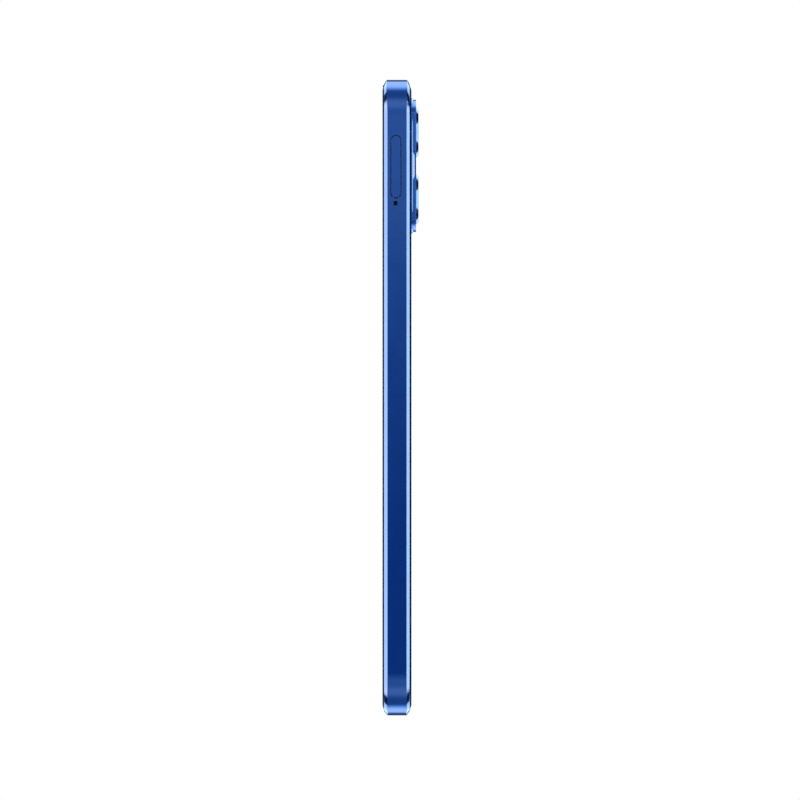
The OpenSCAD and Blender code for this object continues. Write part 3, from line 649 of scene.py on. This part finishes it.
plate_levels = [(inset, base_x + up) for inset, up in SHOULDER] + [(FACE_IN, top_x)]
camera_plate = as_object("camera_plate_body", stack(
    rounded_rect(bump_y, bump_z, bump_w, bump_h, BUMP_R, PLATE_STEPS), plate_levels, along_x))
carve(camera_plate, "UNION", collar(upper), collar(lower))
bores = [stack(circle_outline(p.y, p.z, ring_r + BORE_PLAY, LENS_STEPS),
               [(0, base_x - 2), (0, top_x + 1)], along_x) for p in (upper, lower)]
bores += [flared(circle_outline(p.y, p.z, r + BORE_PLAY, WINDOW_STEPS), top_x, base_x - 2,
                 along_x, flare=0.08) for p, r in ((macro, macro_r), (flash, flash_r))]
carve(camera_plate, "DIFFERENCE", *bores)
finish_piece(camera_plate, LOOKS["blue_camera"], replaces=["camera_plate"])


# ---------------------------------------------------------------- lens rings and lenses
RING_BORE = 4.9
RING_SEAT = 4.4           # bore behind the lens glass
RING_BEVEL = 0.55
RING_FOOT_IN = 1.1        # the part of the ring inside the plate is narrower
RING_FOOT_UP = 0.2
RING_CHAMFER = ((0.0, 0.03), (0.03, 0.075))                              # in, over the plate
RING_RIM = ((0.03, 0.07), (-0.01, 0.03), (-0.06, 0.008), (-0.13, 0.0))   # out, below the top
RING_LIP = ((0.34, 0.0), (0.29, 0.01), (0.25, 0.04))                     # out, below the top
TURNED_STEPS = 4
TURNED_IN = 0.25
TURNED_TOP = 0.04
TURNED_DOWN = 0.24
TURNED_LIP = (0.05, 0.012)                                               # out, up
LENS_R = 4.87
LENS_PLAY = 0.04
LENS_SOFT = 0.05          # back edge
LENS_CHAMFER = 0.06       # front edge
MASK_R = 4.36
MASK_T = 0.02
MASK_GAP = 0.03
BARREL_RIM = 0.12
BARREL_FACE = 0.35
BAFFLES = 5
BAFFLES_DOWN = 0.55
BAFFLE_SLOPE = ((0.12, 0.04), (0.05, 0.0))                               # out, up
ELEMENT_GAP = 0.05        # from the last baffle down to the front element
ELEMENT_T = 0.3
ELEMENT_STEPS = 72
DOME_SHARE = 0.97         # of an element's radius


def turned(name, p, profile, steps):
    """Solid of revolution about a lens's axis. The profile is a loop of (radius, x)."""
    return as_object(name, stack(circle_outline(p.y, p.z, 0, steps),
                                 [(-r, x) for r, x in profile], along_x, closed=True))


def build_ring(name, p):
    """A lens ring: bevelled rim, and fine turned steps down its inside."""
    low, high = box_mm(name)
    foot, ring_top = low.x, high.x
    bevel_end = ring_r - RING_BEVEL
    profile = [(ring_r - inward, top_x + up) for inward, up in RING_CHAMFER]
    profile += [(bevel_end + out, ring_top - down) for out, down in RING_RIM]
    profile += [(RING_BORE + out, ring_top - down) for out, down in RING_LIP]
    for i in range(1, TURNED_STEPS + 1):
        r = RING_BORE + TURNED_IN * (1 - i / TURNED_STEPS)
        x = ring_top - TURNED_TOP - TURNED_DOWN * i / TURNED_STEPS
        profile += [(r + TURNED_LIP[0], x + TURNED_LIP[1]), (r, x)]
    profile += [(RING_BORE, glass_seat), (RING_SEAT, glass_seat), (RING_SEAT, foot),
                (ring_r - RING_FOOT_IN, foot), (ring_r - RING_FOOT_IN, base_x + RING_FOOT_UP),
                (ring_r, base_x + RING_FOOT_UP)]
    return turned(name + "_turned", p, profile, RING_STEPS)


def lens_disc(name, p, node, r):
    """Flat lens glass with softened edges."""
    low, high = box_mm(node)
    levels = [(LENS_SOFT, low.x), (0, low.x + LENS_SOFT),
              (0, high.x - LENS_CHAMFER), (LENS_CHAMFER, high.x)]
    return as_object(name, stack(circle_outline(p.y, p.z, r - LENS_PLAY, LENS_STEPS), levels,
                                 along_x))


def black_print(name, p, outer, inner, glass_back):
    """Black band printed on the back of a lens glass."""
    x = glass_back - MASK_GAP
    return turned(name, p, [(outer, x), (outer, x + MASK_T), (inner, x + MASK_T), (inner, x)],
                  LENS_STEPS)


def barrel(name, p, r, back, front, eye_r):
    """Lens barrel: stepped black baffles down to its front element."""
    face_r = r - BARREL_FACE
    profile = [(r, back), (r, front - BARREL_RIM), (r - BARREL_RIM, front), (face_r, front)]
    for i in range(1, BAFFLES + 1):
        a = face_r - (face_r - eye_r) * i / BAFFLES
        x = front - BAFFLES_DOWN * i / BAFFLES
        profile += [(a + out, x + up) for out, up in BAFFLE_SLOPE]
    profile += [(eye_r, front - BAFFLES_DOWN - ELEMENT_GAP), (eye_r, back)]
    return turned(name, p, profile, LENS_STEPS)


def front_element(name, p, r, top, sink, rise):
    """Domed front lens, sunk below the top of its barrel."""
    x = top - sink
    levels = [(0, x - ELEMENT_T)] + round_off(r * DOME_SHARE, rise, 12, x)
    return as_object(name, stack(circle_outline(p.y, p.z, r, ELEMENT_STEPS), levels, along_x))


glass_seat = box_mm("upper_lens_glass")[0].x
for label, p in (("upper", upper), ("lower", lower)):
    ring, glass = label + "_lens_ring", label + "_lens_glass"
    finish_piece(build_ring(ring, p), LOOKS["blue_ring"], replaces=[ring],
                 sharp=24)
    finish_piece(lens_disc(label + "_lens_disc", p, glass, LENS_R), LOOKS["lens_glass"],
                 replaces=[glass])
for label, p, mask_bore in (("upper", upper, 3.2), ("lower", lower, 2.7)):
    finish_piece(black_print(label + "_lens_mask", p, MASK_R, mask_bore, glass_seat),
                 LOOKS["camera_black"])

MAIN_EYE_R = 1.75
main_low, main_high = box_mm("main_camera_lens")
main_r = (main_high.z - main_low.z) / 2
finish_piece(barrel("main_camera_barrel", upper, main_r, main_low.x, main_high.x, MAIN_EYE_R),
             LOOKS["camera_black"], body="lens", replaces=["main_camera_lens"])
finish_piece(front_element("main_camera_element", upper, MAIN_EYE_R, main_high.x,
                           sink=0.58, rise=0.3), LENS_COATING, body="lens")
finish_piece(front_element("ultrawide_element", lower, 1.48, box_mm("ultrawide_camera")[1].x,
                           sink=0.42, rise=0.36), LENS_COATING)
finish_piece(front_element("macro_element", macro, 0.93, box_mm("macro_camera")[1].x,
                           sink=0.4, rise=0.25), LENS_COATING)
finish_piece(black_print("macro_lens_mask", macro, 2.44, 1.3,
                         box_mm("macro_lens_glass")[0].x),
             LOOKS["camera_black"])
finish_piece(lens_disc("macro_lens_disc", macro, "macro_lens_glass", macro_r),
             LOOKS["lens_glass"], replaces=["macro_lens_glass"])

# the flash window has ring-shaped ridges inside that spread its light
RIDGES = 8
RIDGE_FIRST = 0.1
RIDGE_PITCH = 0.23
RIDGE_W = 0.2
RIDGE_ROOT = 0.18
RIDGE_TIP = 0.04
flash_low, flash_high = box_mm("flash_lens")
flash_edge = flash_r - LENS_PLAY
profile = [(flash_edge, flash_high.x - 0.05), (flash_edge - 0.05, flash_high.x),
           (0.02, flash_high.x), (0.02, flash_low.x + 0.2)]
for i in range(RIDGES):
    r = RIDGE_FIRST + RIDGE_PITCH * i
    profile += [(r, flash_low.x + RIDGE_ROOT), (r + RIDGE_W, flash_low.x + RIDGE_TIP)]
profile += [(flash_edge - 0.1, flash_low.x), (flash_edge, flash_low.x)]
finish_piece(turned("flash_window", flash, profile, ELEMENT_STEPS), LOOKS["flash_window"],
             replaces=["flash_lens"])


# ---------------------------------------------------------------- card tray
DOOR_T = 1.15
DOOR_ROUND = 0.07
DOOR_OVERLAP = 0.1        # of the tray's carrier into its door
TRAY_T = 1.0
TRAY_W = 14.4
CARDS = 2
CARD_L = 12.4
CARD_W = 8.9
CARD_RIB = 1.2
CARD_FLOOR = 0.15
CARD_RIM = 1.0

door_levels = [(0, near + DOOR_T)]
door_levels += round_off(DOOR_ROUND, -DOOR_ROUND, 5, near + DOOR_ROUND)
tray = as_object("card_tray", stack(
    slot_outline(tray_mid.x, tray_mid.z, door_w, door_l, SLOT_STEPS), door_levels, along_y))
carve(tray, "UNION", block((tray_mid.x - TRAY_T / 2, tray_mid.x + TRAY_T / 2),
                           (near + DOOR_T - DOOR_OVERLAP, door_high.y),
                           (tray_mid.z - TRAY_W / 2, tray_mid.z + TRAY_W / 2)))
for i in range(1, CARDS + 1):
    y0 = door_high.y - i * (CARD_W + CARD_RIB)
    hole_l = CARD_L / 2 - CARD_RIM
    pocket = block((tray_mid.x - TRAY_T / 2 + CARD_FLOOR, tray_mid.x + TRAY_T),
                   (y0, y0 + CARD_W), (tray_mid.z - CARD_L / 2, tray_mid.z + CARD_L / 2))
    window = block((tray_mid.x - TRAY_T, tray_mid.x + TRAY_T),
                   (y0 + CARD_RIM, y0 + CARD_W - CARD_RIM),
                   (tray_mid.z - hole_l, tray_mid.z + hole_l))
    carve(tray, "DIFFERENCE", pocket, window)
finish_piece(tray, LOOKS["blue_lacquer"], body="tray", replaces=["sim_tray"])


# ---------------------------------------------------------------- keys
WALL_T = 2.0
KEY_ROUND = 0.18
CAP_ROOT = 0.28           # this and the next three are depths behind the wall
FLANGE_EDGES = (0.33, 0.68)
FLANGE_BACK = 0.73
NUB_ROOT = 0.7
FLANGE_SOFT = 0.05
FLANGE_SIDE = 0.15
NUB_R = 0.6
NUB_SOFT = 0.1
NUB_IN = 4.0              # from the ends of the volume rocker's cap


def build_key(node, body):
    """A key: cap, flange inside the wall, and the nubs that press on the domes."""
    low, high = box_mm(node)
    mid = (low + high) / 2
    length = high.z - low.z - 2 * FLANGE_OVER
    wall = far - WALL_T
    rim = high.y - KEY_ROUND
    cap = stack(slot_outline(mid.x, mid.z, KEY_W, length, SLOT_STEPS),
                [(0, wall - CAP_ROOT)] + round_off(KEY_ROUND, KEY_ROUND, 7, rim), along_y)
    flange = stack(slot_outline(mid.x, mid.z, KEY_W + 2 * FLANGE_SIDE, high.z - low.z,
                                SLOT_STEPS),
                   [(FLANGE_SOFT, wall - FLANGE_BACK), (0, wall - FLANGE_EDGES[1]),
                    (0, wall - FLANGE_EDGES[0]), (FLANGE_SOFT, wall - CAP_ROOT)], along_y)
    reach = length / 2 - NUB_IN
    places = [mid.z] if node == "power_key" else [mid.z - reach, mid.z + reach]
    nubs = [stack(circle_outline(mid.x, z, NUB_R, 24),
                  [(NUB_SOFT, low.y), (0, low.y + NUB_SOFT), (0, wall - NUB_ROOT)], along_y)
            for z in places]
    obj = as_object(node + "_cap", cap, flange, *nubs)
    return finish_piece(obj, LOOKS["blue_lacquer"], body=body, replaces=[node])


build_key("power_key", "power_button")
build_key("volume_rocker", "volume_button")


# ---------------------------------------------------------------- charging socket
USB_WALL = 0.3
USB_SOFT = 0.06
USB_MOUTH = 0.12          # depth of the slope inside the shell's mouth
USB_MOUTH_IN = 0.2
USB_BACK = 0.4
USB_BACK_PLAY = 0.05
TONGUE_R = 0.12
TONGUE_TIP = 0.1
TONGUE_TIP_IN = 0.08
CONTACTS = 12
CONTACT_PITCH = 0.5
CONTACT_HALF_W = 0.13
CONTACT_HALF_T = 0.012
CONTACT_PROUD = 0.004
CONTACT_TIP = 0.35        # from the tongue's two ends to the contacts' ends
CONTACT_ROOT = 0.3

shell_low, shell_high = box_mm("usb_shell")
usb_levels = [(USB_SOFT, shell_low.z), (0, shell_low.z + USB_SOFT), (0, shell_high.z),
              (USB_WALL, shell_high.z), (USB_WALL, shell_low.z + USB_MOUTH),
              (USB_MOUTH_IN, shell_low.z)]
usb_shell = as_object("usb_shell_drawn", stack(
    slot_outline(0, 0, usb_size.x, usb_size.y, USB_STEPS), usb_levels, along_z, closed=True))
carve(usb_shell, "UNION", stack(
    slot_outline(0, 0, usb_size.x - 2 * USB_BACK_PLAY, usb_size.y - 2 * USB_BACK_PLAY, USB_STEPS),
    [(0, shell_high.z - USB_BACK), (0, shell_high.z - 0.02)], along_z))
finish_piece(usb_shell, LOOKS["steel"], replaces=["usb_shell"])

tongue_low, tongue_high = box_mm("usb_tongue")
tongue = as_object("usb_tongue_moulded", stack(
    rounded_rect(0, 0, tongue_high.x - tongue_low.x, tongue_high.y - tongue_low.y, TONGUE_R, 4),
    [(TONGUE_TIP_IN, tongue_low.z), (0, tongue_low.z + TONGUE_TIP), (0, tongue_high.z)],
    along_z))
finish_piece(tongue, LOOKS["black_plastic"], replaces=["usb_tongue"])
contacts = []
for side in (-1, 1):
    x = side * (tongue_high.x + CONTACT_PROUD)
    for i in range(CONTACTS):
        y = (i - (CONTACTS - 1) / 2) * CONTACT_PITCH
        contacts.append(block((x - CONTACT_HALF_T, x + CONTACT_HALF_T),
                              (y - CONTACT_HALF_W, y + CONTACT_HALF_W),
                              (tongue_low.z + CONTACT_TIP, tongue_high.z - CONTACT_ROOT)))
finish_piece(as_object("usb_contacts", *contacts), GOLD)


# ---------------------------------------------------------------- carried-over CAD nodes
slot_of = {row["node"]: row["material_slot"] for row in record["subparts"]}
for name, obj in frame["nodes"].items():
    obj.data.materials.clear()
    obj.data.materials.append(LOOKS[slot_of[name]])


# ---------------------------------------------------------------- studio
ROOM = (0.36, 0.64, 0.72)
ZENITH = (0.14, 0.38, 0.54)
LIFT = (0.80, 1.0, 0.95)
GAP = (0.002, 0.03, 0.10)
LAMP_AT_SCREEN = (5.0, 4.3, 3.1)
LAMP_AT_BACK = (4.2, 4.3, 3.1)
WALL = (1.3, 1.8, 2.0)
WALL_HIGH = (2.1, 2.7, 2.6)
PATCH = (0.03, 0.10, 0.22)
NEUTRAL = (0.95, 0.95, 0.95)
WHITE = (1, 1, 1)


def build_world():
    """Studio seen in reflections: pale wall behind, softboxes at both sides, dim elsewhere.
    The camera itself sees plain white. turn is the angle from straight behind the phone,
    rise the angle up or down, both in degrees."""
    world = bpy.data.worlds.new("studio")
    bpy.context.scene.world = world
    world.use_nodes = True
    n = Nodes(world.node_tree)
    out = n.add("ShaderNodeOutputWorld")
    background = n.add("ShaderNodeBackground")
    n.tree.links.new(background.outputs[0], out.inputs[0])
    split = n.add("ShaderNodeSeparateXYZ")
    n.put(split.inputs[0], n.add("ShaderNodeTexCoord").outputs["Generated"])
    x, y, z = split.outputs
    across = n.math("ABSOLUTE", x)
    turn = n.math("DEGREES", n.math("ARCTAN2", across, y))
    rise = n.math("DEGREES", n.math("ARCSINE", n.math("ABSOLUTE", z)))

    # dim front and top: a soft lift at 50 degrees up and a dark zenith
    colour = n.mix(n.ramp(rise, 60, 82), opaque(ROOM), opaque(ZENITH))
    colour = n.mix(n.band(rise, 32, 50, 56, 72), colour, opaque(LIFT))
    # dark gap between the wall behind and the side softboxes
    gap = n.math("MULTIPLY", n.ramp(turn, 96, 84), n.ramp(rise, 66, 52))
    colour = n.mix(gap, colour, opaque(GAP))
    # side softboxes
    side = n.math("MULTIPLY", n.band(turn, 56, 64, 102, 112), n.ramp(rise, 25, 21))
    lamps = n.mix(n.ramp(x, -0.1, 0.1), opaque(LAMP_AT_SCREEN), opaque(LAMP_AT_BACK))
    colour = n.mix(side, colour, lamps)
    # pale wall behind, with a dark patch straight behind the phone
    wall = n.math("MULTIPLY", n.ramp(turn, 43, 40.5), n.band(rise, 7.5, 11.5, 64, 86))
    wall_colour = n.mix(n.ramp(rise, 44, 60), opaque(WALL), opaque(WALL_HIGH))
    colour = n.mix(wall, colour, wall_colour)
    below = n.ramp(z, 0.02, -0.02)
    ahead = n.math("SUBTRACT", y, across)
    patch = n.ramp(ahead, n.math("MULTIPLY_ADD", below, -0.10, 0.74),
                   n.math("MULTIPLY_ADD", below, -0.06, 0.90))
    colour = n.mix(patch, colour, opaque(PATCH))
    # surfaces without gloss are lit by neutral light, and the camera sees plain white
    path = n.add("ShaderNodeLightPath")
    colour = n.mix(path.outputs["Is Diffuse Ray"], colour, opaque(NEUTRAL))
    colour = n.mix(path.outputs["Is Camera Ray"], colour, opaque(WHITE))
    n.put(background.inputs["Color"], colour)


def emitter(name, stops):
    """Glowing material whose colour runs up its height through (millimetres, colour) stops."""
    material = bpy.data.materials.new(name)
    material.use_nodes = True
    n = Nodes(material.node_tree)
    out = n.add("ShaderNodeOutputMaterial")
    glow = n.add("ShaderNodeEmission")
    n.tree.links.new(glow.outputs[0], out.inputs[0])
    split = n.add("ShaderNodeSeparateXYZ")
    n.put(split.inputs[0], n.add("ShaderNodeTexCoord").outputs["Object"])
    height = split.outputs[2]
    colour = opaque(stops[0][1])
    for (low, _), (high, rgb) in zip(stops, stops[1:]):
        colour = n.mix(n.ramp(height, low * MM, high * MM), colour, opaque(rgb))
    n.put(glow.inputs["Color"], colour)
    return material


def panel(name, corners, material):
    """A flat four-cornered part of the studio, which isn't part of the phone."""
    mesh = bpy.data.meshes.new(name)
    mesh.from_pydata([Vector(c) for c in corners], [], [(0, 1, 2, 3)])
    mesh.materials.append(material)
    obj = bpy.data.objects.new(name, mesh)
    bpy.context.scene.collection.objects.link(obj)
    return obj


# a softbox in front of the flat side: paler towards both ends of the phone
FRONT_Y = -0.45
FRONT_HALF_W = 0.3
FRONT_BOTTOM = -0.12
FRONT_TOP = 0.3
FRONT_STOPS = ((-120, (0.30, 0.52, 0.62)), (10, (0.06, 0.245, 0.45)),
               (40, (0.06, 0.245, 0.45)), (80, (0.12, 0.335, 0.51)),
               (108, (0.20, 0.46, 0.61)), (136, (0.43, 0.70, 0.76)))
FLOOR = 1.2
FLOOR_Z = -0.0001         # just below the phone, so that the two faces don't coincide

build_world()
front = panel("front_softbox", ((-FRONT_HALF_W, FRONT_Y, FRONT_BOTTOM),
                                (FRONT_HALF_W, FRONT_Y, FRONT_BOTTOM),
                                (FRONT_HALF_W, FRONT_Y, FRONT_TOP),
                                (-FRONT_HALF_W, FRONT_Y, FRONT_TOP)),
              emitter("front_glow", FRONT_STOPS))
front.visible_camera = False
front.visible_shadow = False

floor_material = finish("pale_floor", (0.80, 0.81, 0.82), (0.86, 0.87, 0.88), 0.6,
                        grain=6, fine=900, bump=0.05, specular=0.0)
floor = panel("floor", ((-FLOOR, -FLOOR, FLOOR_Z), (FLOOR, -FLOOR, FLOOR_Z),
                        (FLOOR, FLOOR, FLOOR_Z), (-FLOOR, FLOOR, FLOOR_Z)), floor_material)
floor.visible_glossy = False
floor.visible_shadow = False

scene = bpy.context.scene
scene.view_settings.view_transform = "Standard"
scene.view_settings.look = "None"

VIEW_WIDTH = 0.2057
VIEW_CENTRE = Vector((0.00078, -0.3, 0.0811))
camera_data = bpy.data.cameras.new("camera")
camera_data.type = "ORTHO"
camera_data.ortho_scale = VIEW_WIDTH
camera_data.clip_start = 0.01
camera = bpy.data.objects.new("camera", camera_data)
camera.location = VIEW_CENTRE
camera.rotation_euler = (math.pi / 2, 0, 0)
scene.collection.objects.link(camera)
scene.camera = camera
